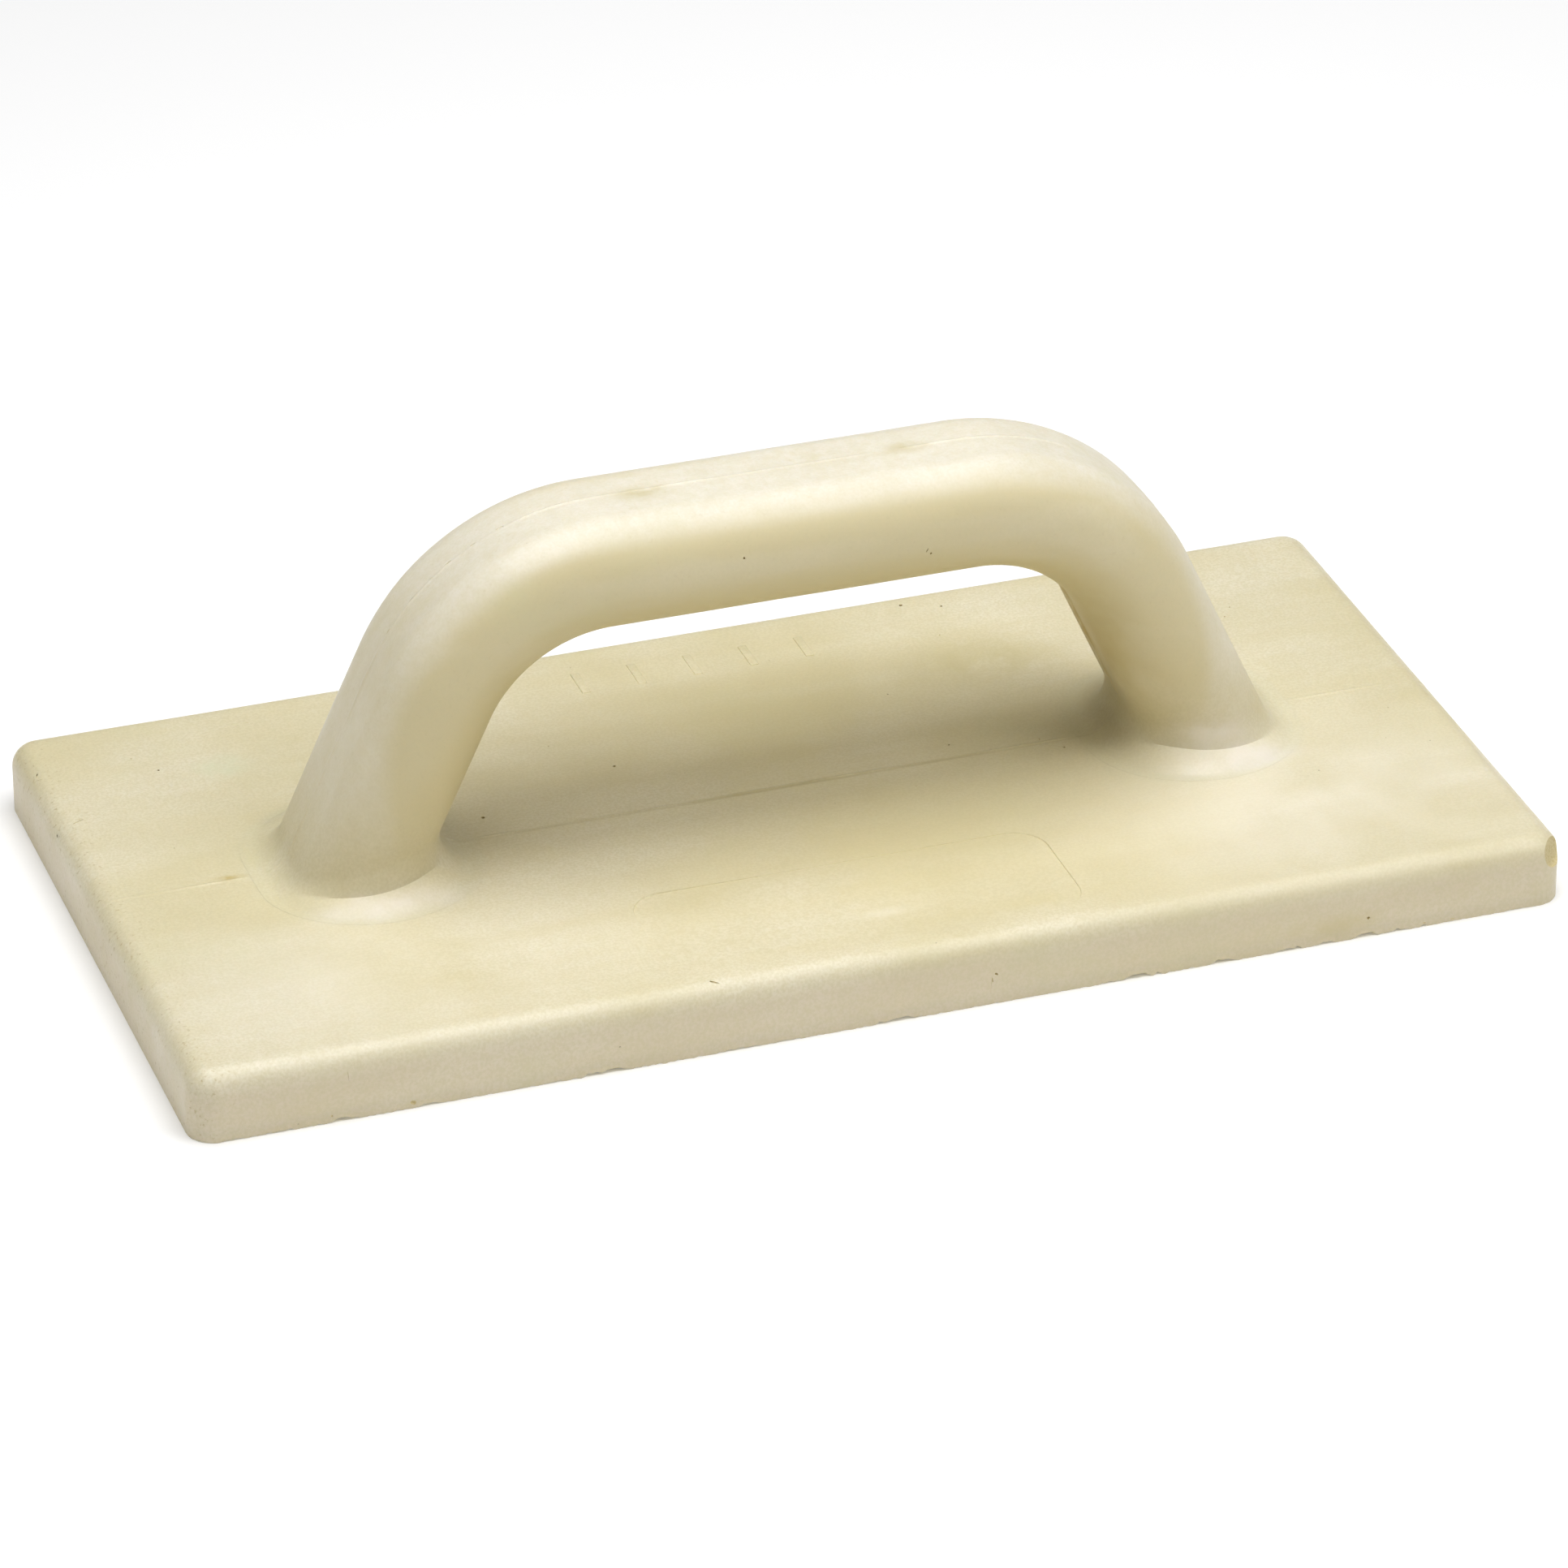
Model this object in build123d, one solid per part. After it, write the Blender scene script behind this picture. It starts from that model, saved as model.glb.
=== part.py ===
"""Plastering hand float, cast in one shot from rigid integral-skin polyurethane foam.

Frame: millimetres, +Z up. The origin is the centre of the rubbing face, X runs along the
blade and the handle, and the blade's two long edges face -Y and +Y.

One casting has no loose pieces, so the nodes are the zones that a saw cut shows: dense skin
against the mould walls, and cellular core inside it. Each zone is its own solid, and the
zones meet face to face, where the foam bonds them.
"""

import os
from math import radians, tan

from build123d import *

# Blade
blade_length = 280.0
blade_width = 140.0
blade_thickness = 14.3
blade_corner_radius = 5.5
blade_edge_radius = 4.5

# Dense skin against the mould walls, and the skin of the rubbing face
skin = 2.0

# Sunk blank panel on the blade's top, left by a removable plate in the mould
panel_length = 85.0
panel_width = 31.0
panel_corner_radius = 7.0
panel_depth = 0.25
panel_centre_y = -47.5

# Handle centreline: a straight grip, two bends, and two legs that splay outwards
grip_axis_height = 73.5
grip_half_length = 37.6
bend_radius = 38.3
leg_angle = 65.2

# Handle section: an obround with its crown planed flat
section_width = 34.8
section_radius = 12.2
crown_height = 12.0
crease_radius = 4.0

# Fillet all round each foot, where the leg flows into the blade
foot_fillet = 7.0

parts_folder = "parts"


def rounded_slab(length, width, corner_radius, bottom, top):
    """Upright rounded rectangle between two heights."""
    outline = RectangleRounded(length, width, corner_radius)
    return Pos(0, 0, bottom) * extrude(outline, top - bottom)


def blade_body(inset, bottom):
    """Blade above a height, with its top edge rounded, shrunk by inset on every moulded side."""
    body = rounded_slab(
        blade_length - 2 * inset,
        blade_width - 2 * inset,
        blade_corner_radius - inset,
        bottom,
        blade_thickness - inset,
    )
    top_edges = body.faces().sort_by(Axis.Z)[-1].edges()
    return fillet(top_edges, blade_edge_radius - inset)


def handle_path(foot_height):
    """Centreline of the handle, from one foot height to the other over the grip."""
    bend_x = grip_half_length + bend_radius * tan(radians(leg_angle) / 2)
    foot_x = bend_x + (grip_axis_height - foot_height) / tan(radians(leg_angle))
    corners = [
        (-foot_x, 0, foot_height),
        (-bend_x, 0, grip_axis_height),
        (bend_x, 0, grip_axis_height),
        (foot_x, 0, foot_height),
    ]
    return FilletPolyline(*corners, radius=bend_radius)


def handle_section(inset):
    """Handle section in its own plane, with the flat crown on the +Y side."""
    radius = section_radius - inset
    crown = crown_height - inset
    obround = SlotOverall(section_width - 2 * inset, 2 * radius)
    waste = Pos(0, crown + radius) * Rectangle(section_width, 2 * radius)
    section = obround - waste
    creases = section.vertices().group_by(Axis.Y)[-1]
    return fillet(creases, crease_radius)


def handle_body(inset, foot_height):
    """Whole arch, cut level at both feet."""
    # The sweep starts below the cut, because its own ends are square to the sloping legs.
    path = handle_path(foot_height - section_radius)
    start = Plane(origin=path @ 0, x_dir=(0, 1, 0), z_dir=path % 0)
    arch = sweep(start * handle_section(inset), path=path)
    below = Pos(0, 0, foot_height - 50) * Box(2 * blade_length, blade_width, 100)
    return arch - below


def foot_outlines(body):
    """Edges where the legs stand on the blade's top face."""
    level = body.edges().filter_by_position(Axis.Z, blade_thickness - 0.01, blade_thickness + 0.01)
    inland = blade_length / 2 - 2 * blade_edge_radius
    reach = section_width / 2 + 1
    return level.filter_by_position(Axis.X, -inland, inland).filter_by_position(Axis.Y, -reach, reach)


def panel_recess():
    """The shallow block that sinks the blank panel into the blade's top."""
    outline = RectangleRounded(panel_length, panel_width, panel_corner_radius)
    floor_height = blade_thickness - panel_depth
    return Pos(0, panel_centre_y, floor_height) * extrude(outline, 2 * panel_depth)


def build():
    """All zones of the casting, by node name."""
    # Outer form: blade and arch as one body, with the fillets round both feet.
    blade = blade_body(0, 0)
    arch = handle_body(0, blade_thickness / 2)
    casting = blade + arch
    casting = fillet(foot_outlines(casting), foot_fillet)

    # Cores: the foam inside the skin. The arch's core runs down through the blade's skin.
    core_top = blade_thickness - skin
    blade_core = blade_body(skin, skin)
    arch_core = handle_body(skin, core_top)

    # Skins: the outer form without the cores, split where the arch stands on the blade.
    above = Pos(0, 0, blade_thickness + 100) * Box(2 * blade_length, 2 * blade_width, 200)
    rim = Pos(0, 0, skin + 100) * Box(2 * blade_length, 2 * blade_width, 200)
    handle_skin = (casting & above) - arch_core
    blade_skin = (blade & rim) - blade_core - arch_core - panel_recess()
    rubbing_face = rounded_slab(blade_length, blade_width, blade_corner_radius, 0, skin)

    return {
        "handle_skin": handle_skin,
        "handle_core": arch_core,
        "blade_skin": blade_skin,
        "blade_core": blade_core,
        "rubbing_face": rubbing_face,
    }


os.makedirs(parts_folder, exist_ok=True)
for node, shape in build().items():
    export_step(shape, os.path.join(parts_folder, node + ".step"))
    size = shape.bounding_box().size
    print(f"{node}: {size.X:.1f} x {size.Y:.1f} x {size.Z:.1f} mm, {shape.volume / 1000:.1f} cm3")
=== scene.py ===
"""A plastering float, cast from polyurethane foam: its skins, its rubbing face and its cores."""
import math
import random

import bpy
import numpy as np
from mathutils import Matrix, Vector, noise


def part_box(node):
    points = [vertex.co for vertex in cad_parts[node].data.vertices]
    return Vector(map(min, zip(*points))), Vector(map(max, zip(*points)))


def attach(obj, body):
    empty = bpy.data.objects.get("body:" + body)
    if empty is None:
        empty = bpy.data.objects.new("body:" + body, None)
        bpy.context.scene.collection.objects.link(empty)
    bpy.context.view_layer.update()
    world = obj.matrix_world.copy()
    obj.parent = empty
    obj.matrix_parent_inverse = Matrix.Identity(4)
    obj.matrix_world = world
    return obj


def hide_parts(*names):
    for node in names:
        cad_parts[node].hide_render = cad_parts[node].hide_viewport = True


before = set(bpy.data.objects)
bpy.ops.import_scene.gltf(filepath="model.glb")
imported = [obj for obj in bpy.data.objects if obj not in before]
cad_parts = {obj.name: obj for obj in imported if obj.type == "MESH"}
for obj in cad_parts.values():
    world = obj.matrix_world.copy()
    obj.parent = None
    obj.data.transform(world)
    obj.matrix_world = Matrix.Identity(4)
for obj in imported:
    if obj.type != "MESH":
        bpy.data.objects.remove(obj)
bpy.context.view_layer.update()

mm = 0.001


# ---------------------------------------------------------------------------------------
# Blade: the flat of the float. It is rigid polyurethane foam with a dense closed skin, cast
# in a two-part metal mould that splits along the middle of the top. Its top edges are
# rounded, its corners are rounded in plan, and its rubbing face is a piece apart.
# ---------------------------------------------------------------------------------------
def linear(hex_code):
    """Linear colour from an sRGB hex code."""
    channels = [int(hex_code[i:i + 2], 16) / 255 for i in (0, 2, 4)]
    return [c / 12.92 if c <= 0.04045 else ((c + 0.055) / 1.055) ** 2.4 for c in channels] + [1.0]


def add_node(tree, kind, inputs=None, **settings):
    """Adds a node. Its inputs, by name or number, take either a value or another node's output."""
    made = tree.nodes.new(kind)
    for name, setting in settings.items():
        setattr(made, name, setting)
    for name, value in (inputs or {}).items():
        if isinstance(value, bpy.types.NodeSocket):
            tree.links.new(value, made.inputs[name])
        else:
            made.inputs[name].default_value = value
    return made


def noise_between(tree, place, size, low, high, detail=3.0):
    """A noise pattern of this size, stretched from 0 at its low value to 1 at its high value."""
    pattern = add_node(
        tree, "ShaderNodeTexNoise", {"Vector": place, "Scale": 1 / size, "Detail": detail}
    )
    stretched = add_node(
        tree, "ShaderNodeMapRange", {"Value": pattern.outputs["Fac"], "From Min": low, "From Max": high}
    )
    return stretched.outputs["Result"]


def tint(tree, colour, factor, hex_code):
    """Lays one colour over another, as far as the factor says."""
    mixed = add_node(
        tree, "ShaderNodeMix", {"Factor": factor, 6: colour, 7: linear(hex_code)}, data_type="RGBA"
    )
    return mixed.outputs[2]


def times(tree, first, second):
    """The product of two values."""
    return add_node(tree, "ShaderNodeMath", {0: first, 1: second}, operation="MULTIPLY").outputs[0]


def moulded_polyurethane(stains_and_painted_light):
    """Warm cream plastic with a satin skin, cloudy patches, fine grain and sparse pinprick pores.

    Each entry, a stain or a patch of painted shade or painted highlight, has a place, its half sizes,
    how strong it is, and a colour.
    """
    material = bpy.data.materials.new("satin_cream_polyurethane")
    material.use_nodes = True
    tree = material.node_tree
    shader = tree.nodes["Principled BSDF"]
    shader.inputs["IOR"].default_value = 1.5
    shader.inputs["Subsurface Weight"].default_value = 0.15
    shader.inputs["Subsurface Radius"].default_value = (1.0, 0.7, 0.35)
    shader.inputs["Subsurface Scale"].default_value = 2 * mm
    place = add_node(tree, "ShaderNodeTexCoord").outputs["Object"]

    # Cloudy cream.
    cream = add_node(tree, "ShaderNodeRGB")
    cream.outputs[0].default_value = linear("ECE4CA")
    colour = tint(tree, cream.outputs[0], noise_between(tree, place, 45 * mm, 0.35, 0.65), "E1D7B2")

    # Above the feet, the whole arch is tinted a little darker and yellower; painted shade darkens the
    # inside of the arch further, and a painted highlight makes its outside paler.
    axes = add_node(tree, "ShaderNodeSeparateXYZ", {0: place})
    height = axes.outputs["Z"]
    on_arch = add_node(
        tree, "ShaderNodeMapRange", {"Value": height, "From Min": 17 * mm, "From Max": 34 * mm}
    ).outputs["Result"]
    colour = tint(tree, colour, times(tree, on_arch, 0.95), "DED1A6")
    # Seen from the middle of each bend, the belly is 26 mm away and the crown is 50 mm away.
    beside = add_node(tree, "ShaderNodeMath", {0: axes.outputs["X"]}, operation="ABSOLUTE")
    past_grip = add_node(
        tree,
        "ShaderNodeMath",
        {0: beside.outputs[0], 1: 37.6 * mm},
        operation="SUBTRACT",
        use_clamp=True,
    )
    over_middle = add_node(tree, "ShaderNodeMath", {0: height, 1: 35.2 * mm}, operation="SUBTRACT")
    from_middle = add_node(
        tree, "ShaderNodeCombineXYZ", {"X": past_grip.outputs[0], "Z": over_middle.outputs[0]}
    )
    reach = add_node(tree, "ShaderNodeVectorMath", {0: from_middle.outputs[0]}, operation="LENGTH")
    # Painted highlight: the crown and the outside of the bends are painted paler and whiter, where the
    # light falls on them.
    painted_sheen = add_node(
        tree,
        "ShaderNodeMapRange",
        {"Value": reach.outputs["Value"], "From Min": 45 * mm, "From Max": 50 * mm, "To Max": 0.85},
        interpolation_type="SMOOTHSTEP",
    )
    on_top = add_node(
        tree,
        "ShaderNodeMapRange",
        {"Value": height, "From Min": 55 * mm, "From Max": 80 * mm, "To Min": 0.5},
    )
    painted_top_sheen = times(tree, painted_sheen.outputs["Result"], on_top.outputs["Result"])
    colour = tint(tree, colour, times(tree, painted_top_sheen, on_arch), "F2EDDF")
    # Painted shade: the inside of the arch, near the belly of each bend, is painted darker and
    # yellower.
    painted_inner_shade = add_node(
        tree,
        "ShaderNodeMapRange",
        {"Value": reach.outputs["Value"], "From Min": 37 * mm, "From Max": 28 * mm, "To Max": 0.8},
    )
    colour = tint(tree, colour, times(tree, painted_inner_shade.outputs["Result"], on_arch), "CDBE8C")

    # Painted shade: the walls are painted a little darker and rosier than the top, where less light
    # falls on them.
    painted_wall_shade = add_node(
        tree,
        "ShaderNodeMapRange",
        {"Value": height, "From Min": 12.5 * mm, "From Max": 9 * mm, "To Max": 0.6},
    )
    colour = tint(tree, colour, painted_wall_shade.outputs["Result"], "DCCBB0")

    # Streaks of flow along the blade, then mottling and grain, which is faint on the arch.
    along_flow = add_node(
        tree,
        "ShaderNodeMapping",
        {"Vector": place, "Scale": (1 / (70 * mm), 1 / (9 * mm), 1 / (20 * mm))},
    )
    flow = noise_between(tree, along_flow.outputs["Vector"], 1.0, 0.5, 0.7)
    colour = tint(tree, colour, times(tree, flow, 0.35), "DED1A6")
    pale_flow = noise_between(tree, along_flow.outputs["Vector"], 1.0, 0.46, 0.3)
    colour = tint(tree, colour, times(tree, pale_flow, 0.22), "F6F0DE")
    mottling = noise_between(tree, place, 2.4 * mm, 0.35, 0.7)
    colour = tint(tree, colour, times(tree, mottling, 0.25), "DBD0A8")
    grain = noise_between(tree, place, 0.6 * mm, 0.35, 0.65, 1.0)
    grain_depth = add_node(
        tree, "ShaderNodeMapRange", {"Value": on_arch, "To Min": 0.4, "To Max": 0.12}
    ).outputs["Result"]
    colour = tint(tree, colour, times(tree, grain, grain_depth), "D3C89E")
    olive = noise_between(tree, place, 28 * mm, 0.6, 0.75)
    colour = tint(tree, colour, times(tree, olive, 0.25), "D6D2A6")

    # Pinprick pores, one in every third cell or so of an 8 mm lattice, each painted dark with the shade
    # inside it.
    cells = add_node(tree, "ShaderNodeTexVoronoi", {"Vector": place, "Scale": 1 / (8 * mm)})
    near = add_node(
        tree,
        "ShaderNodeMapRange",
        {"Value": cells.outputs["Distance"], "From Min": 0.03, "From Max": 0.012},
    )
    cell_colour = add_node(tree, "ShaderNodeSeparateColor", {0: cells.outputs["Color"]})
    chosen = add_node(
        tree,
        "ShaderNodeMath",
        {0: cell_colour.outputs[0], 1: 0.35},
        operation="LESS_THAN",
    )
    pores = times(tree, near.outputs["Result"], chosen.outputs[0])
    # Painted shade darkens each pore.
    colour = tint(tree, colour, times(tree, pores, 0.6), "8F8258")

    # Brown specks of old release wax, thick along the blade's left edge and thin elsewhere.
    near_left = add_node(
        tree,
        "ShaderNodeMapRange",
        {
            "Value": axes.outputs["X"],
            "From Min": -128 * mm,
            "From Max": -139 * mm,
            "To Min": 0.12,
            "To Max": 0.9,
        },
    )
    specks = noise_between(tree, place, 0.9 * mm, 0.62, 0.72, 2.0)
    colour = tint(tree, colour, times(tree, specks, near_left.outputs["Result"]), "C9B98A")

    # Stains, and patches of painted shade and painted highlight, each laid on as a blotchy oval.
    for spot, half_sizes, strength, hex_code in stains_and_painted_light:
        offset = add_node(
            tree, "ShaderNodeVectorMath", {0: place, 1: Vector(spot) * mm}, operation="SUBTRACT"
        )
        scaled = add_node(
            tree,
            "ShaderNodeVectorMath",
            {0: offset.outputs[0], 1: [1 / (size * mm) for size in half_sizes]},
            operation="MULTIPLY",
        )
        away = add_node(tree, "ShaderNodeVectorMath", {0: scaled.outputs[0]}, operation="LENGTH")
        inside = add_node(
            tree,
            "ShaderNodeMapRange",
            {"Value": away.outputs["Value"], "From Min": 1.0, "From Max": 0.0, "To Max": strength},
            interpolation_type="SMOOTHSTEP",
        )
        blotches = noise_between(tree, place, 0.4 * half_sizes[0] * mm, 0.2, 0.6)
        colour = tint(tree, colour, times(tree, inside.outputs["Result"], blotches), hex_code)
    tree.links.new(colour, shader.inputs["Base Color"])

    # Satin, more polished in patches, with a faint orange peel.
    polish = noise_between(tree, place, 14 * mm, 0.35, 0.65)
    roughness = add_node(
        tree, "ShaderNodeMapRange", {"Value": polish, "To Min": 0.33, "To Max": 0.48}
    )
    tree.links.new(roughness.outputs["Result"], shader.inputs["Roughness"])
    peel = noise_between(tree, place, 1.1 * mm, 0.2, 0.8)
    bump = add_node(
        tree, "ShaderNodeBump", {"Height": peel, "Strength": 0.22, "Distance": 0.04 * mm}
    )
    sunk = add_node(
        tree,
        "ShaderNodeBump",
        {"Height": pores, "Normal": bump.outputs["Normal"], "Strength": 1.0, "Distance": 0.1 * mm},
        invert=True,
    )
    tree.links.new(sunk.outputs["Normal"], shader.inputs["Normal"])
    return material


def open_foam():
    """Foam where the skin has burst: darker, yellower and dull, with fine open cells."""
    material = bpy.data.materials.new("open_foam")
    material.use_nodes = True
    tree = material.node_tree
    shader = tree.nodes["Principled BSDF"]
    shader.inputs["Roughness"].default_value = 0.85
    place = add_node(tree, "ShaderNodeTexCoord").outputs["Object"]
    yellow = add_node(tree, "ShaderNodeRGB")
    yellow.outputs[0].default_value = linear("E6D8AC")
    cells = add_node(tree, "ShaderNodeTexVoronoi", {"Vector": place, "Scale": 1 / (0.4 * mm)})
    colour = tint(tree, yellow.outputs[0], cells.outputs["Distance"], "CDBB84")
    tree.links.new(colour, shader.inputs["Base Color"])
    bump = add_node(
        tree,
        "ShaderNodeBump",
        {"Height": cells.outputs["Distance"], "Strength": 0.6, "Distance": 0.15 * mm},
    )
    tree.links.new(bump.outputs["Normal"], shader.inputs["Normal"])
    return material


def places(piece):
    """A piece's vertices, as rows of x, y and z."""
    rows = np.empty(len(piece.data.vertices) * 3)
    piece.data.vertices.foreach_get("co", rows)
    return rows.reshape(-1, 3)


def put(piece, rows):
    """Moves a piece's vertices to these rows of x, y and z."""
    piece.data.vertices.foreach_set("co", rows.ravel())
    piece.data.update()


def pick(piece):
    """Selects one piece alone, and makes it the active one."""
    bpy.ops.object.select_all(action="DESELECT")
    piece.select_set(True)
    bpy.context.view_layer.objects.active = piece


def cut(piece, tool, operation="DIFFERENCE"):
    """Cuts a tool out of a piece, or joins it on, and throws the tool away."""
    pick(piece)
    boolean = piece.modifiers.new("cut", "BOOLEAN")
    boolean.object = tool
    boolean.operation = operation
    boolean.solver = "MANIFOLD"
    boolean.material_mode = "TRANSFER"
    bpy.ops.object.modifier_apply(modifier="cut")
    bpy.data.objects.remove(tool)


def gouge(piece, hollows, material):
    """Cuts rough hollows out of a piece. Each has a place, half sizes, and turns about X, Y and Z."""
    bpy.ops.object.select_all(action="DESELECT")
    made = []
    for spot, half_sizes, turns in hollows:
        bpy.ops.mesh.primitive_ico_sphere_add(
            subdivisions=3,
            radius=mm,
            location=Vector(spot) * mm,
            rotation=[math.radians(turn) for turn in turns],
            scale=half_sizes,
        )
        made.append(bpy.context.object)
    for hollow in made:
        hollow.select_set(True)
    bpy.ops.object.transform_apply(location=True, rotation=True, scale=True)
    bpy.ops.object.join()
    tool = bpy.context.object
    rows = places(tool)
    shake = np.array([noise.noise_vector(Vector(row) / (0.6 * mm)) for row in rows])
    put(tool, rows + 0.05 * mm * shake)
    tool.data.materials.append(material)
    cut(piece, tool)


blade_low, blade_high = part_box("blade_skin")
half_length = blade_high.x
half_width = blade_high.y
blade_top = blade_high.z
sole_top = blade_low.z
corner_radius = 5.5 * mm
edge_radius = 4.5 * mm
edge_turns = 8
wall_steps = 7


def ruler(half, middle):
    """Distances from the middle out: close at the middle, then even, then round the edge."""
    flat = half - edge_radius
    count = round((flat - middle[-1]) / (1 * mm))
    even = np.linspace(middle[-1], flat, count + 1)[1:]
    quarter = math.pi / 2
    turns = [
        flat + edge_radius * math.sin(quarter * step / edge_turns) for step in range(1, edge_turns + 1)
    ]
    return np.array([*middle, *even, *turns])


along = ruler(half_length, [0.0])
across = ruler(half_width, [0.0, 0.2 * mm, 0.45 * mm, 0.8 * mm, 1.4 * mm])
bpy.ops.object.select_all(action="DESELECT")
bpy.ops.mesh.primitive_grid_add(
    x_subdivisions=2 * (len(along) - 1), y_subdivisions=2 * (len(across) - 1), size=2
)
blade = bpy.context.object
blade.name = "blade"
rows = places(blade)
for axis, distances in ((0, along), (1, across)):
    number = np.rint(np.abs(rows[:, axis]) * (len(distances) - 1)).astype(int)
    rows[:, axis] = np.sign(rows[:, axis]) * distances[number]

# The square corners of the sheet become quarter circles.
past_x = (np.abs(rows[:, 0]) - (half_length - corner_radius)) / corner_radius
past_y = (np.abs(rows[:, 1]) - (half_width - corner_radius)) / corner_radius
in_corner = (past_x > 0) & (past_y > 0)
disc_x = past_x * np.sqrt(1 - np.clip(past_y, 0, 1) ** 2 / 2)
disc_y = past_y * np.sqrt(1 - np.clip(past_x, 0, 1) ** 2 / 2)
for axis, half, disc in ((0, half_length, disc_x), (1, half_width, disc_y)):
    moved = np.sign(rows[:, axis]) * (half - corner_radius + disc * corner_radius)
    rows[:, axis] = np.where(in_corner, moved, rows[:, axis])

# The rounding falls away from the flat by how near each point is to the outline.
to_side = np.minimum(half_length - np.abs(rows[:, 0]), half_width - np.abs(rows[:, 1]))
to_corner = corner_radius * (1 - np.hypot(disc_x, disc_y))
to_edge = np.clip(np.where(in_corner, to_corner, to_side), 0, edge_radius)
drop = edge_radius - np.sqrt(edge_radius**2 - (edge_radius - to_edge) ** 2)
rows[:, 2] = blade_top - drop


# Away from the feet and the rim, the mould left the top faintly wavy, with long ripples near
# the front where the foam was the last to fill, and a broken ridge of flash on its split line.
def ease(value):
    """Runs from 0 to 1 smoothly, and stays there."""
    share = np.clip(value, 0, 1)
    return share * share * (3 - 2 * share)


def ridge(x, y):
    """How high the split line's flash stands at a place along it, in millimetres."""
    long_wave = noise.noise(Vector((x / (14 * mm), y / (14 * mm), 1.7)))
    short_wave = noise.noise(Vector((x / (1.6 * mm), y / (1.6 * mm), 5.2)))
    return max(0.02, 0.12 + 0.2 * long_wave + 0.12 * short_wave)


x, y = rows[:, 0], rows[:, 1]
foot_x = 86 * mm
beside_foot = np.maximum(0, np.abs(np.abs(x) - foot_x) - 13 * mm)
from_foot = np.hypot(beside_foot, np.maximum(0, np.abs(y) - 14 * mm))
clear = ease((from_foot - 9 * mm) / (8 * mm)) * ease(to_edge / (2.5 * mm))
front = ease((-22 * mm - y) / (10 * mm)) * ease((x + 70 * mm) / (40 * mm))
waves = np.array([noise.noise(Vector((a / (45 * mm), b / (30 * mm), 0.3))) for a, b in zip(x, y)])
ripples = np.array([noise.noise(Vector((a / (35 * mm), b / (6 * mm), 7.1))) for a, b in zip(x, y)])
flash = np.array([ridge(a, 0) for a in x])
on_line = np.interp(np.abs(y), [0, 0.2 * mm, 0.45 * mm], [1.0, 0.65, 0.0])
lip = np.exp(-(((y + 64.2 * mm) / (0.8 * mm)) ** 2))
lip *= ease((x + 25 * mm) / (30 * mm)) * ease((40 * mm - x) / (6 * mm))
rows[:, 2] += (0.09 * waves + 0.12 * ripples * front + 0.09 * lip) * clear * mm
rows[:, 2] += flash * on_line * ease((from_foot - 10 * mm) / (2 * mm)) * mm
put(blade, rows)

# The walls hang from the sheet's rim, and a copy of their foot starts the sole.
bpy.ops.object.mode_set(mode="EDIT")
bpy.ops.mesh.select_all(action="DESELECT")
bpy.ops.mesh.select_mode(type="EDGE")
bpy.ops.mesh.select_non_manifold()
wall_step = (sole_top - (blade_top - edge_radius)) / wall_steps
for step in range(wall_steps):
    bpy.ops.mesh.extrude_region_move(TRANSFORM_OT_translate={"value": (0, 0, wall_step)})
bpy.ops.mesh.duplicate()
bpy.ops.mesh.separate(type="SELECTED")
bpy.ops.mesh.select_all(action="DESELECT")
bpy.ops.mesh.select_non_manifold()
bpy.ops.mesh.edge_face_add()
bpy.ops.mesh.select_all(action="SELECT")
bpy.ops.mesh.normals_make_consistent(inside=False)
bpy.ops.object.mode_set(mode="OBJECT")
sole = [piece for piece in bpy.context.selected_objects if piece != blade][0]
sole.name = "sole"

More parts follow.
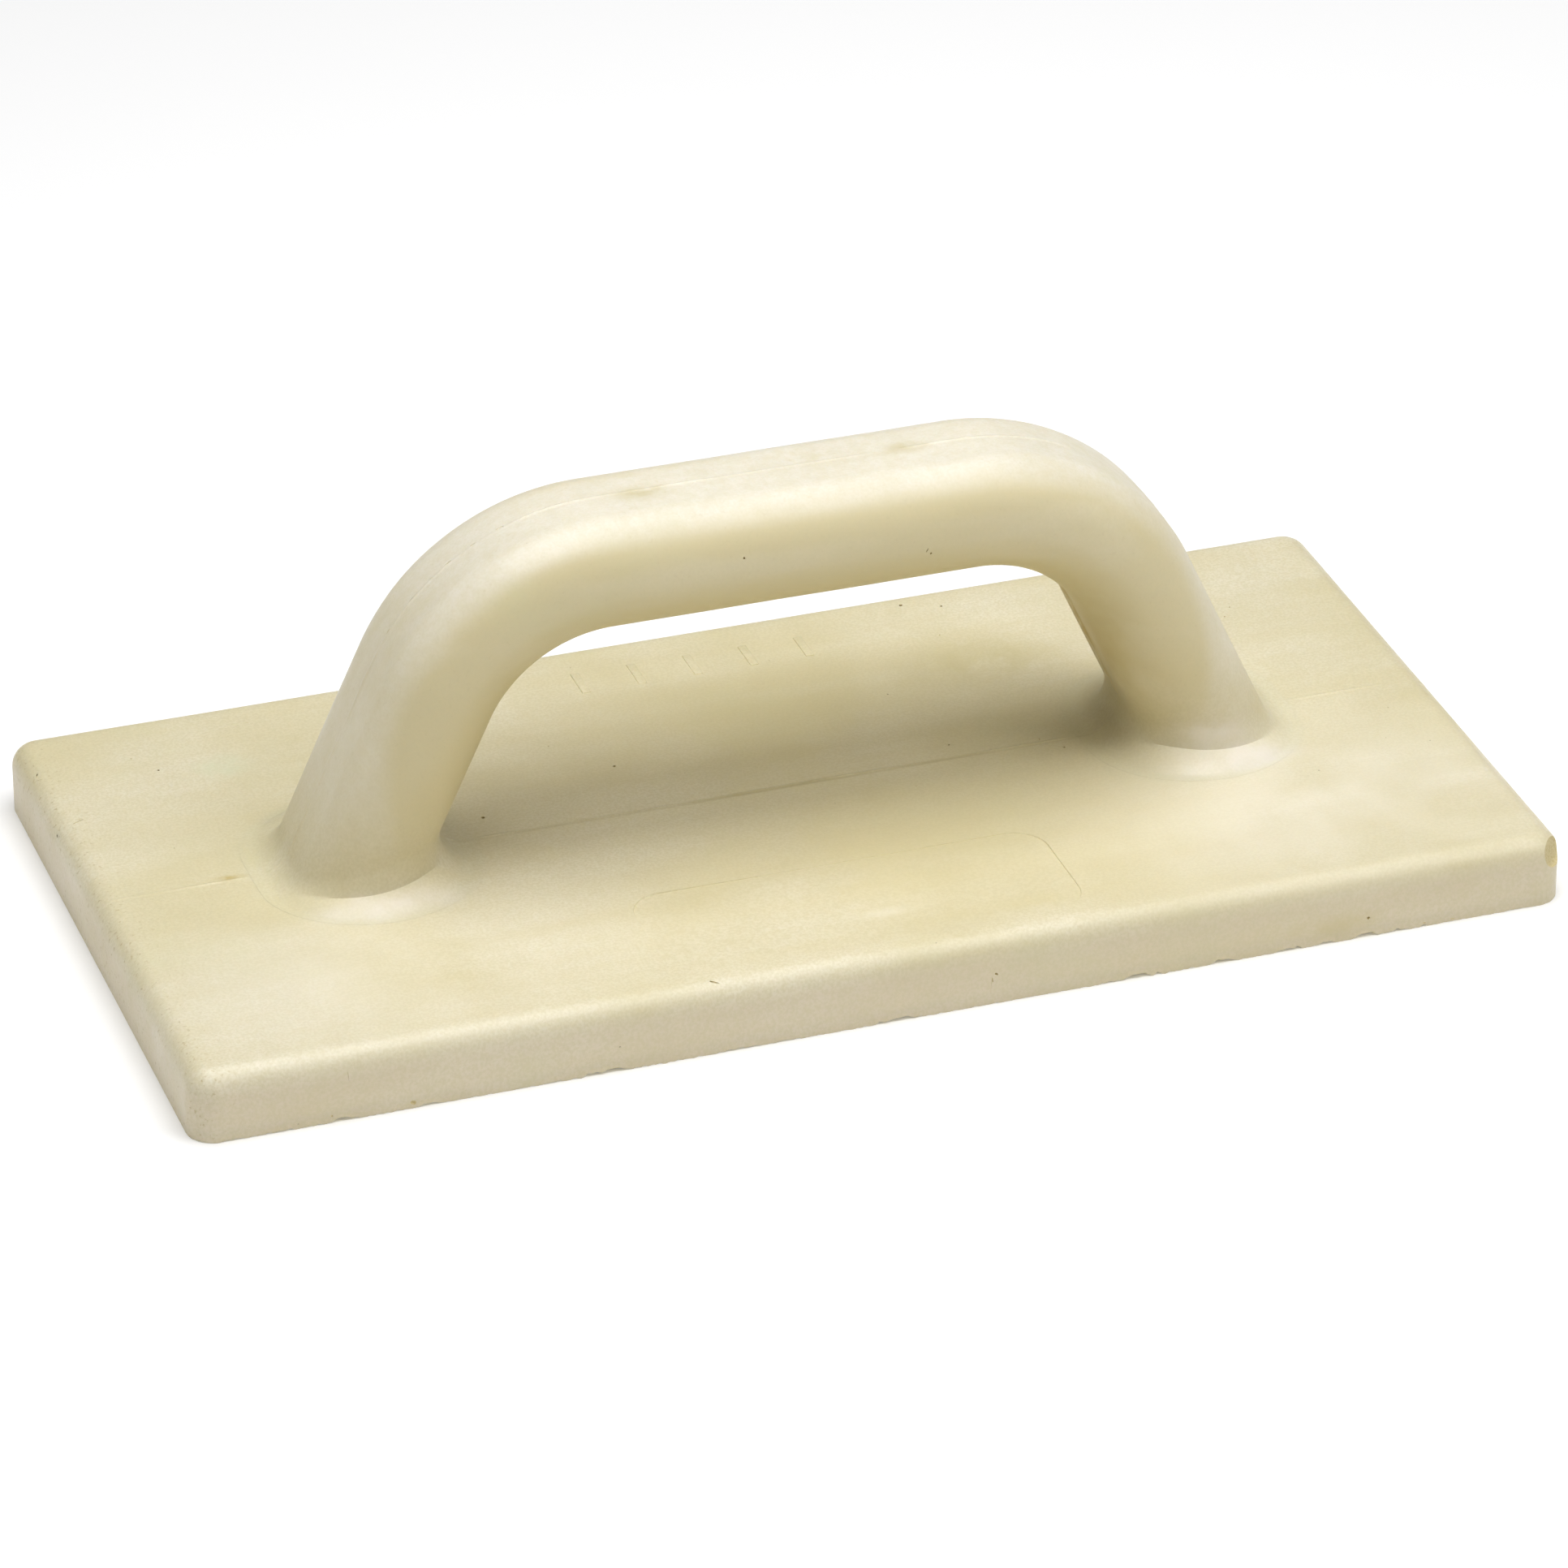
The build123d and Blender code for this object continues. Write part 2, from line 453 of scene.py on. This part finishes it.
# Stains, with patches of painted shade and painted highlight among them, marked below.
stains_and_painted_light = [
    # Two broad warm tints over the top: the first partly, the second wholly, painted shade from the
    # grip.
    ((0, -30, 14.3), (90.0, 40.0, 8.0), 0.45, "E2D5A4"),
    ((10, 18, 14.3), (90.0, 45.0, 8.0), 0.5, "DDCF98"),
    ((-5, -0.4, 14.3), (95.0, 0.9, 1.5), 0.8, "B3A673"),
    ((-113, 1, 14.3), (5.0, 1.8, 2.0), 0.8, "C7B476"),
    ((-102, 44, 14.3), (9.0, 7.0, 2.0), 0.5, "DDE3C4"),
    # Painted light: the front corners of the top are painted paler, where the light falls brightest.
    ((-95, -45, 14.3), (70.0, 40.0, 9.0), 0.4, "F7F0DE"),
    ((100, -40, 14.3), (70.0, 50.0, 9.0), 0.6, "F7F0DE"),
    ((-66, 58, 14.3), (16.0, 8.0, 2.0), 0.25, "D8CFA2"),
    ((30, -58, 14.3), (30.0, 4.0, 3.0), 0.35, "DCD09E"),
    ((4, -53, 14.3), (14.0, 3.0, 3.0), 0.4, "F7F0DC"),
    ((91, -70, 3.5), (15.0, 3.0, 4.0), 0.5, "CFC088"),
    ((138, -69, 12.0), (5.0, 5.0, 5.0), 0.4, "D9CC9A"),
    ((-20, 66, 14.3), (60.0, 5.0, 3.0), 0.3, "DDD2A4"),
    # Painted shadow: the right bend's cast shadow on the top behind the right leg.
    ((58, 36, 14.3), (24.0, 16.0, 3.0), 0.7, "CFC28E"),
    # Painted highlights: pale patches in front of each foot and on the right foot's fillet.
    ((90, -20, 14.5), (20.0, 6.0, 4.0), 0.8, "F8F0E8"),
    ((-86, -20, 14.5), (20.0, 7.0, 4.0), 0.8, "F8F0E6"),
    ((86, -16, 19), (14.0, 8.0, 9.0), 0.8, "F4ECDC"),
    ((-28, -1, 85.5), (9.0, 5.0, 3.0), 0.75, "D3C79A"),
    ((26, 0, 85.5), (8.0, 3.5, 3.0), 0.7, "D2C596"),
    ((8, 3, 85.5), (6.0, 2.5, 3.0), 0.4, "DCD0A4"),
    ((66, 0, 42), (8.0, 16.0, 16.0), 0.55, "D2B878"),
    ((-83, 0, 52), (9.0, 5.0, 22.0), 0.35, "DCCFAE"),
]
skin = moulded_polyurethane(stains_and_painted_light)
foam = open_foam()
blade.data.materials.append(skin)
blade.data.materials.append(foam)

# Sunk blank panel, left by a removable plate in the mould.
panel_centre_y = -47.5 * mm
panel_depth = 0.17 * mm
panel_length = 85 * mm
panel_width = 31 * mm
panel_splay = 5 * mm
block_height = 4 * mm
block_centre_z = blade_top - panel_depth + block_height / 2
bpy.ops.mesh.primitive_cube_add(size=1, location=(0, panel_centre_y, block_centre_z))
panel = bpy.context.object
panel.dimensions = (panel_length, panel_width, block_height)
bpy.ops.object.transform_apply(location=True, rotation=False, scale=True)
bpy.ops.object.mode_set(mode="EDIT")
bpy.ops.mesh.select_all(action="DESELECT")
bpy.ops.object.mode_set(mode="OBJECT")
for edge in panel.data.edges:
    ends = [panel.data.vertices[i].co for i in edge.vertices]
    edge.select = abs(ends[0].z - ends[1].z) > 1 * mm
bpy.ops.object.mode_set(mode="EDIT")
bpy.ops.mesh.bevel(offset=7 * mm, segments=10)
bpy.ops.object.mode_set(mode="OBJECT")
rows = places(panel)
splayed = rows[:, 2] > blade_top
rows[splayed, 0] *= (panel_length + panel_splay) / panel_length
from_centre_y = rows[splayed, 1] - panel_centre_y
rows[splayed, 1] = panel_centre_y + from_centre_y * (panel_width + panel_splay) / panel_width
put(panel, rows)
panel.data.materials.append(skin)
cut(blade, panel)

# Five plain raised bars, in place of the size that is moulded here on a float of this kind.
bar_spacing = 12 * mm
bar_centre_y = 53.5 * mm
bars = []
for place_in_row in (-2, -1, 0, 1, 2):
    bpy.ops.mesh.primitive_cube_add(
        size=1, location=(place_in_row * bar_spacing, bar_centre_y, blade_top)
    )
    bar = bpy.context.object
    bar.dimensions = (1.8 * mm, 8.5 * mm, 0.44 * mm)
    bpy.ops.object.transform_apply(location=True, rotation=False, scale=True)
    bpy.ops.object.mode_set(mode="EDIT")
    bpy.ops.mesh.select_all(action="SELECT")
    bpy.ops.mesh.bevel(offset=0.2 * mm, segments=3)
    bpy.ops.object.mode_set(mode="OBJECT")
    bars.append(bar)
for bar in bars:
    bar.select_set(True)
bpy.ops.object.join()
bpy.context.object.data.materials.append(skin)
cut(blade, bpy.context.object, "UNION")

# Burst bubble in the front right corner, and pinholes, all open to the foam below.
flat_on = (0, 0, 0)
blade_hollows = [
    ((138.5, -68.2, 11.8), (4.8, 1.8, 4.3), (0, 0, 46)),
    ((134.6, -69.6, 13.2), (0.3, 0.5, 0.3), flat_on),
    ((-59.0, 7.4, 13.9), (0.4, 0.4, 1.5), flat_on),
    ((-28.1, 18.6, 13.9), (0.32, 0.32, 1.3), flat_on),
    ((48.9, 63.8, 13.9), (0.36, 0.36, 1.4), flat_on),
    ((56.7, 60.7, 13.9), (0.26, 0.26, 1.1), flat_on),
    ((-114.5, 46.8, 13.9), (0.24, 0.24, 1.0), flat_on),
    ((38.0, 5.0, 14.2), (0.22, 0.22, 0.5), flat_on),
    ((56.0, 1.4, 14.2), (0.18, 0.18, 0.5), flat_on),
    ((59.5, -3.4, 14.2), (0.3, 0.26, 0.5), flat_on),
    ((111.0, 63.5, 14.1), (0.2, 0.2, 0.4), flat_on),
    ((20.4, -70.1, 6.6), (0.4, 0.4, 0.22), (0, 35, 0)),
    ((19.6, -70.1, 5.4), (0.12, 0.3, 0.6), (0, -10, 0)),
    ((98.0, -70.0, 4.2), (0.3, 0.5, 0.3), flat_on),
]
dice = random.Random(4)
for _ in range(46):
    spot = (dice.uniform(-132, 132), dice.uniform(-62, 62))
    radius = dice.uniform(0.09, 0.17)
    off_foot = abs(abs(spot[0]) - foot_x / mm) > 27 or abs(spot[1]) > 30
    off_others = all(math.dist(spot, hollow[0][:2]) > 4 for hollow in blade_hollows)
    if off_foot and off_others and abs(spot[1] - panel_centre_y / mm) > 18:
        blade_hollows.append(((*spot, 14.26), (radius, radius, 0.35), flat_on))
gouge(blade, blade_hollows, foam)

# Nicks and scratches that do not break the skin.
blade_nicks = [
    ((-35.2, -67.6, 14.0), (2.6, 0.28, 0.3), (25, 0, -38)),
    ((-109.6, -70.05, 9.8), (0.14, 0.2, 1.7), (0, -6, 0)),
    ((19.3, -70.05, 4.2), (0.1, 0.14, 2.0), (0, 5, 0)),
    ((-137.2, 54.5, 13.6), (0.18, 2.6, 0.25), (0, 18, -30)),
    ((-134.8, 32.0, 14.25), (1.6, 0.14, 0.14), (0, 0, 25)),
    ((-139.0, 31.0, 12.2), (0.2, 1.2, 0.6), (0, 40, 8)),
    ((-96.0, 59.6, 14.3), (2.2, 0.13, 0.14), (0, 0, 12)),
    ((-92.6, 59.9, 14.3), (1.2, 0.13, 0.13), (0, 0, -38)),
]
gouge(blade, blade_nicks, skin)
pick(blade)
bpy.ops.object.shade_smooth_by_angle(angle=math.radians(35))
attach(blade, "root")
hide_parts("blade_skin")


# ---------------------------------------------------------------------------------------
# Sole: the flat face that rubs the plaster. It is the open side of the mould, struck off
# level, so its skin is matt and pitted, and a ragged lip of flash was left round its edge.
# ---------------------------------------------------------------------------------------
pick(sole)
bpy.ops.object.mode_set(mode="EDIT")
bpy.ops.mesh.select_all(action="SELECT")
bpy.ops.mesh.subdivide(number_cuts=1)
bpy.ops.mesh.edge_face_add()
bpy.ops.object.mode_set(mode="OBJECT")
bpy.ops.object.mode_set(mode="EDIT")
bpy.ops.mesh.select_all(action="SELECT")
above = sole_top
for height in (1.5, 1.0, 0.6, 0.3, 0.1, 0.0):
    bpy.ops.mesh.extrude_region_move(TRANSFORM_OT_translate={"value": (0, 0, height * mm - above)})
    above = height * mm
# The second ring is flat, so that the shading of the big face inside it stays flat too.
bpy.ops.mesh.inset(thickness=1.2 * mm)
bpy.ops.mesh.inset(thickness=1.0 * mm)
bpy.ops.mesh.select_all(action="SELECT")
bpy.ops.mesh.normals_make_consistent(inside=False)
bpy.ops.object.mode_set(mode="OBJECT")
rows = places(sole)
core_x = np.clip(rows[:, 0], corner_radius - half_length, half_length - corner_radius)
core_y = np.clip(rows[:, 1], corner_radius - half_width, half_width - corner_radius)
out = rows[:, :2] - np.stack([core_x, core_y], 1)
on_rim = np.linalg.norm(out, axis=1) > corner_radius - 0.3 * mm
out /= np.maximum(np.linalg.norm(out, axis=1), 1e-9)[:, None]
raggedness = np.where(out[:, 1] < -0.5, 1.0, np.where(out[:, 0] < -0.5, 0.15, 0.7))
for number in np.flatnonzero(on_rim):
    x, y, z = rows[number]
    share = 1 - z / sole_top
    tooth = noise.noise(Vector((x / (1.4 * mm), y / (1.4 * mm), 2.0)))
    bite = noise.noise(Vector((x / (4.5 * mm), y / (4.5 * mm), 9.0)))
    patchy = 0.6 + 0.9 * noise.noise(Vector((x / (30 * mm), y / (30 * mm), 4.0)))
    amount = raggedness[number] * max(0.2, patchy)
    swell = (0.1 + 0.45 * max(0, tooth)) * share**2 * amount
    rows[number, :2] += out[number] * min(swell, 0.4) * mm
    lift = min(1.0, (1.7 * max(0, bite) + 1.3 * max(0, -tooth)) * amount) * mm
    rows[number, 2] = lift + z * (sole_top - lift) / sole_top
put(sole, rows)


def struck_polyurethane():
    """The same cream plastic, but matt and a little darker, with swirls from the strike-off bar."""
    material = bpy.data.materials.new("matt_struck_polyurethane")
    material.use_nodes = True
    tree = material.node_tree
    shader = tree.nodes["Principled BSDF"]
    place = add_node(tree, "ShaderNodeTexCoord").outputs["Object"]
    cream = add_node(tree, "ShaderNodeRGB")
    cream.outputs[0].default_value = linear("E3D9B4")
    colour = tint(tree, cream.outputs[0], noise_between(tree, place, 30 * mm, 0.35, 0.65), "DACFA4")
    swirl = add_node(
        tree,
        "ShaderNodeTexWave",
        {"Vector": place, "Scale": 14.0, "Distortion": 9.0, "Detail": 4.0, "Detail Scale": 2.0},
    )
    colour = tint(tree, colour, times(tree, swirl.outputs["Fac"], 0.3), "D7CB9E")
    cells = add_node(tree, "ShaderNodeTexVoronoi", {"Vector": place, "Scale": 1 / (1.3 * mm)})
    near = add_node(
        tree,
        "ShaderNodeMapRange",
        {"Value": cells.outputs["Distance"], "From Min": 0.3, "From Max": 0.1},
    )
    patches = noise_between(tree, place, 10 * mm, 0.45, 0.7)
    pits = times(tree, near.outputs["Result"], patches)
    colour = tint(tree, colour, times(tree, pits, 0.6), "B5A473")
    tree.links.new(colour, shader.inputs["Base Color"])
    roughness = add_node(
        tree, "ShaderNodeMapRange", {"Value": patches, "To Min": 0.6, "To Max": 0.78}
    )
    tree.links.new(roughness.outputs["Result"], shader.inputs["Roughness"])
    bump = add_node(
        tree, "ShaderNodeBump", {"Height": pits, "Strength": 0.8, "Distance": 0.15 * mm}, invert=True
    )
    tree.links.new(bump.outputs["Normal"], shader.inputs["Normal"])
    return material


sole.data.materials.clear()
sole.data.materials.append(skin)
sole.data.materials.append(foam)
sole.data.materials.append(struck_polyurethane())
for face in sole.data.polygons:
    if face.normal.z < -0.5:
        face.material_index = 2
sole_hollows = [
    ((-97.0, -70.2, 1.3), (0.7, 0.4, 0.5), (0, 25, 0)),
    ((-113.0, -70.2, 1.5), (0.25, 0.3, 0.3), flat_on),
    ((110.0, -70.4, 0.8), (0.9, 0.4, 0.3), (0, 10, 0)),
    ((116.0, -70.4, 0.6), (1.4, 0.4, 0.3), flat_on),
    ((128.0, -70.4, 0.6), (0.7, 0.4, 0.3), flat_on),
]
for _ in range(70):
    spot = (dice.uniform(-132, 132), dice.uniform(-62, 62), 0)
    radius = dice.uniform(0.15, 0.5)
    if all(math.dist(spot, hollow[0]) > 3 for hollow in sole_hollows):
        sole_hollows.append((spot, (radius, radius * dice.uniform(0.7, 1.3), 0.3), flat_on))
gouge(sole, sole_hollows, foam)
pick(sole)
bpy.ops.object.shade_smooth_by_angle(angle=math.radians(35))
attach(sole, "root")
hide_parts("rubbing_face")


# ---------------------------------------------------------------------------------------
# Handle: the arch, cast in one with the blade. Its section is an obround with a flatter
# crown between two faint creases, and each leg rolls out into the blade through a fillet.
# ---------------------------------------------------------------------------------------
handle_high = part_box("handle_skin")[1]
grip_radius = 12.2 * mm
grip_side = 5.2 * mm
crown_rise = 12.05 * mm
crease_turn = math.radians(13)
bend_radius = 38.3 * mm
bend_turn = math.radians(65.2)
grip_half = 37.6 * mm
grip_height = handle_high.z - 12.0 * mm
foot_fillet = 7.0 * mm
flange = 0.02 * mm

# Half of the section, from the middle of the crown to the middle of the belly: each point's
# distance from the middle, its height, and the way that the surface faces there.
crease_y = grip_side + grip_radius * math.sin(crease_turn)
crease_rise = grip_radius * math.cos(crease_turn)
half_section = []
for y in (0.0, 0.2, 0.45, 0.8, 1.6, 2.8, 4.0, 5.2, 6.2, 7.0):
    fall = (crown_rise - crease_rise) * (y * mm / crease_y) ** 2
    half_section.append((y * mm, crown_rise - fall, 0.0))
side_steps = 26
for step in range(side_steps + 1):
    turn = crease_turn + (math.pi - crease_turn) * step / side_steps
    half_section.append((grip_side + grip_radius * math.sin(turn), grip_radius * math.cos(turn), turn))
for y in (4.2, 3.0, 1.8, 0.8, 0.45, 0.2, 0.0):
    half_section.append((y * mm, -grip_radius, math.pi))
other_half = [(-y, rise, -turn) for y, rise, turn in half_section[-2:0:-1]]
section = np.array(half_section + other_half)
section_y, section_rise, section_turn = section.T

bpy.ops.object.select_all(action="DESELECT")
bpy.ops.mesh.primitive_circle_add(vertices=len(section), radius=grip_radius)
handle = bpy.context.object
handle.name = "handle"
put(handle, np.stack([0 * section_y, section_y, grip_height + section_rise], 1))
grip_steps = 38
bend_steps = 44
bpy.ops.object.mode_set(mode="EDIT")
bpy.ops.mesh.select_all(action="SELECT")
for step in range(grip_steps):
    bpy.ops.mesh.extrude_region_move(TRANSFORM_OT_translate={"value": (grip_half / grip_steps, 0, 0)})
bpy.ops.mesh.spin(
    steps=bend_steps, angle=bend_turn, center=(grip_half, 0, grip_height - bend_radius), axis=(0, -1, 0)
)
bpy.ops.object.mode_set(mode="OBJECT")

# The leg runs straight on from the bend, to where its fillet starts at each point of the
# section. The fillet rolls round as a ball would leave it, but the mould's two front and
# back corners were cut by hand: there it runs nearly straight to a crease, then ramps out.
leg_way = Vector((math.cos(bend_turn), 0, -math.sin(bend_turn)))
leg_out = Vector((math.sin(bend_turn), 0, math.cos(bend_turn)))
bend_end = Vector((grip_half, 0, grip_height - bend_radius)) + bend_radius * leg_out
leg_start = np.stack(
    [bend_end.x + section_rise * leg_out.x, section_y, bend_end.z + section_rise * leg_out.z], 1
)
outward = np.stack(
    [np.cos(section_turn) * leg_out.x, np.sin(section_turn), np.cos(section_turn) * leg_out.z], 1
)
fillet_start_z = blade_top + flange + foot_fillet * (1 - outward[:, 2])
run = (fillet_start_z - leg_start[:, 2]) / leg_way.z
fillet_start = leg_start + run[:, None] * np.array(leg_way)
ball = fillet_start + foot_fillet * outward
leg_steps = 26
rings = [leg_start + (fillet_start - leg_start) * step / leg_steps for step in range(1, leg_steps + 1)]

down = np.array([0.0, 0.0, -1.0])
swing = np.arccos(np.clip(outward[:, 2], -1, 1))[:, None]
toe = ball + foot_fillet * down
half_way = (down - outward) / np.linalg.norm(down - outward, axis=1)[:, None]
corner = ball + foot_fillet * half_way / np.cos(swing / 2)
crease = 0.36 * fillet_start + 0.12 * toe + 0.52 * corner
by_hand = ease(1.6 * np.abs(np.sin(section_turn)) - 0.5)[:, None]
fillet_turns = 16
for step in range(1, fillet_turns + 1):
    share = step / fillet_turns
    way = (np.sin((1 - share) * swing) * -outward + np.sin(share * swing) * down) / np.sin(swing)
    rolled = ball + foot_fillet * way
    if share <= 0.5:
        cut_straight = fillet_start + (crease - fillet_start) * 2 * share
    else:
        cut_straight = crease + (toe - crease) * (2 * share - 1)
        cut_straight[:, 2] += 0.4 * mm * math.sin(math.pi * (2 * share - 1))
    rings.append(rolled + (cut_straight - rolled) * 0.85 * by_hand)
toe_out = outward * [1, 1, 0]
toe_out /= np.linalg.norm(toe_out, axis=1)[:, None]
rings.append(rings[-1] + 1.5 * mm * toe_out)
rings.append(rings[-1] - [0, 0, 0.5 * mm])

bpy.ops.object.mode_set(mode="EDIT")
last = leg_start
for ring in rings:
    bpy.ops.mesh.extrude_region_move(TRANSFORM_OT_translate={"value": (0, 0, 0)})
    bpy.ops.object.mode_set(mode="OBJECT")
    rows = places(handle)
    picked = np.array([vertex.index for vertex in handle.data.vertices if vertex.select])
    nearest = np.linalg.norm(rows[picked][:, None] - last[None], axis=2).argmin(axis=1)
    rows[picked] = ring[nearest]
    put(handle, rows)
    last = ring
    bpy.ops.object.mode_set(mode="EDIT")
bpy.ops.mesh.edge_face_add()
bpy.ops.object.mode_set(mode="OBJECT")
mirror = handle.modifiers.new("other_half", "MIRROR")
mirror.merge_threshold = 0.01 * mm
bpy.ops.object.modifier_apply(modifier="other_half")
bpy.ops.object.mode_set(mode="EDIT")
bpy.ops.mesh.select_all(action="SELECT")
bpy.ops.mesh.remove_doubles(threshold=0.01 * mm)
bpy.ops.mesh.normals_make_consistent(inside=False)
bpy.ops.object.mode_set(mode="OBJECT")

# The arch is faintly wavy too. Its flash stands along the crown and down the legs, and it is
# thickest on the inside of the right leg, where the mould's halves met badly.
rows = places(handle)
normals = np.array([vertex.normal for vertex in handle.data.vertices])
x, y, z = rows.T
above_foot = ease((z - blade_top - 1 * mm) / (12 * mm))
waves = np.array([noise.noise(Vector(row) / (22 * mm)) for row in rows])
inner = (normals[:, 2] < -0.2) & (z > blade_top + 0.3 * mm)
torn = np.array([noise.noise(Vector((a / (2.5 * mm), 3.3, c / (2.5 * mm)))) for a, c in zip(x, z)])
flash = np.array([ridge(a, c) for a, c in zip(x, z)])
flash = np.where(inner & (x > 50 * mm), 0.3 + 0.35 * torn, flash)
on_line = np.interp(np.abs(y), [0, 0.2 * mm, 0.45 * mm], [1.0, 0.6, 0.0])
stands = flash * on_line * ease((z - blade_top - 0.02 * mm) / (0.5 * mm))
rows += normals * ((0.07 * waves * above_foot + stands) * mm)[:, None]
rows[:, 2] = np.minimum(rows[:, 2], handle_high.z + 0.35 * mm)
put(handle, rows)

handle.data.materials.append(skin)
handle.data.materials.append(foam)
handle_hollows = [
    ((-12.7, -17.0, 76.4), (0.22, 0.5, 0.22), flat_on),
    ((25.6, -17.1, 70.9), (0.22, 0.5, 0.22), flat_on),
    ((24.8, -17.2, 71.8), (0.12, 0.35, 0.5), (0, 30, 0)),
    ((53.9, -16.5, 78.3), (0.9, 0.2, 0.12), (0, 20, 0)),
    ((57.7, -17.1, 76.4), (0.6, 0.2, 0.12), (0, 28, 0)),
    ((-64.5, -13.0, 70.0), (1.9, 0.16, 0.14), (0, -42, 20)),
    ((-70.0, -14.6, 62.0), (1.6, 0.16, 0.14), (0, -48, 12)),
]
bend_centre = (grip_half / mm, (grip_height - bend_radius) / mm)
for turn, size in ((14, 0.2), (22, 0.3), (29, 0.22), (36, 0.34), (41, 0.25), (47, 0.3), (56, 0.22)):
    angle = math.radians(turn)
    reach = (bend_radius + crown_rise) / mm
    spot = (-bend_centre[0] - reach * math.sin(angle), 0.35, bend_centre[1] + reach * math.cos(angle))
    handle_hollows.append((spot, (3 * size, 0.8 * size, size), (0, -turn, 0)))
gouge(handle, handle_hollows, skin)
pick(handle)
bpy.ops.object.shade_smooth_by_angle(angle=math.radians(35))
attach(handle, "root")
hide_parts("handle_skin")


# ---------------------------------------------------------------------------------------
# Cores: the cellular foam inside the skins, as a saw cut shows it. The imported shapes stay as
# they are, with a dull, fine-celled foam on them.
# ---------------------------------------------------------------------------------------
def cellular_polyurethane():
    """Pale yellow foam, matt, with cells of about half a millimetre."""
    material = bpy.data.materials.new("cellular_polyurethane")
    material.use_nodes = True
    tree = material.node_tree
    shader = tree.nodes["Principled BSDF"]
    shader.inputs["Roughness"].default_value = 0.9
    place = add_node(tree, "ShaderNodeTexCoord").outputs["Object"]
    pale = add_node(tree, "ShaderNodeRGB")
    pale.outputs[0].default_value = linear("E0D3A8")
    cells = add_node(tree, "ShaderNodeTexVoronoi", {"Vector": place, "Scale": 1 / (0.5 * mm)})
    colour = tint(tree, pale.outputs[0], cells.outputs["Distance"], "CDBB88")
    colour = tint(tree, colour, noise_between(tree, place, 12 * mm, 0.4, 0.7), "DCCB98")
    tree.links.new(colour, shader.inputs["Base Color"])
    bump = add_node(
        tree,
        "ShaderNodeBump",
        {"Height": cells.outputs["Distance"], "Strength": 0.7, "Distance": 0.2 * mm},
    )
    tree.links.new(bump.outputs["Normal"], shader.inputs["Normal"])
    return material


core_foam = cellular_polyurethane()
for node in ("handle_core", "blade_core"):
    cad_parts[node].data.materials.clear()
    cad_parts[node].data.materials.append(core_foam)


# ---------------------------------------------------------------------------------------
# Floor: a white sheet that glows a little, so that hardly any shade is left on it.
# ---------------------------------------------------------------------------------------
bpy.ops.object.select_all(action="DESELECT")
bpy.ops.mesh.primitive_plane_add(size=6, location=(0, 0, 0))
floor = bpy.context.object
floor.name = "floor"
paper = bpy.data.materials.new("white_paper")
paper.use_nodes = True
paper_shader = paper.node_tree.nodes["Principled BSDF"]
paper_shader.inputs["Base Color"].default_value = linear("FAFAFA")
paper_shader.inputs["Roughness"].default_value = 0.9
paper_shader.inputs["Emission Color"].default_value = (1.0, 1.0, 1.0, 1.0)
paper_shader.inputs["Emission Strength"].default_value = 0.13
floor.data.materials.append(paper)

# ---------------------------------------------------------------------------------------
# Light: a broad softbox overhead, a second one high at the front right, and a weak fill low
# down at the left.
# ---------------------------------------------------------------------------------------
world = bpy.data.worlds.new("soft_room")
world.use_nodes = True
world.node_tree.nodes["Background"].inputs["Color"].default_value = (1.0, 1.0, 1.0, 1.0)
world.node_tree.nodes["Background"].inputs["Strength"].default_value = 0.04
bpy.context.scene.world = world

lamps = [
    ("overhead", (0.0, -0.05, 1.15), 1.05, 15.0),
    ("front_right", (0.85, -0.7, 1.15), 0.7, 4.6),
    ("left_fill", (-1.5, -0.2, 0.5), 0.8, 1.4),
]
for name, spot, size, power in lamps:
    bpy.ops.object.light_add(type="AREA", location=spot)
    lamp = bpy.context.object
    lamp.name = name
    lamp.data.size = size
    lamp.data.energy = power
    lamp.rotation_euler = (-Vector(spot)).to_track_quat("-Z", "Y").to_euler()

# ---------------------------------------------------------------------------------------
# Camera: off the front left corner, well back, looking down by about thirty degrees.
# ---------------------------------------------------------------------------------------
azimuth = math.radians(-19.08)
elevation = math.radians(29.50)
distance = 1.5668
target = Vector((-0.00753, -0.02548, 0.030))
level = math.cos(elevation)
back = Vector((math.sin(azimuth) * level, -math.cos(azimuth) * level, math.sin(elevation)))
bpy.ops.object.camera_add(location=target + distance * back)
camera = bpy.context.object
camera.rotation_euler = (-back).to_track_quat("-Z", "Y").to_euler()
camera.data.sensor_width = 36
camera.data.lens = 184.67
bpy.context.scene.camera = camera
bpy.context.scene.view_settings.view_transform = "Standard"
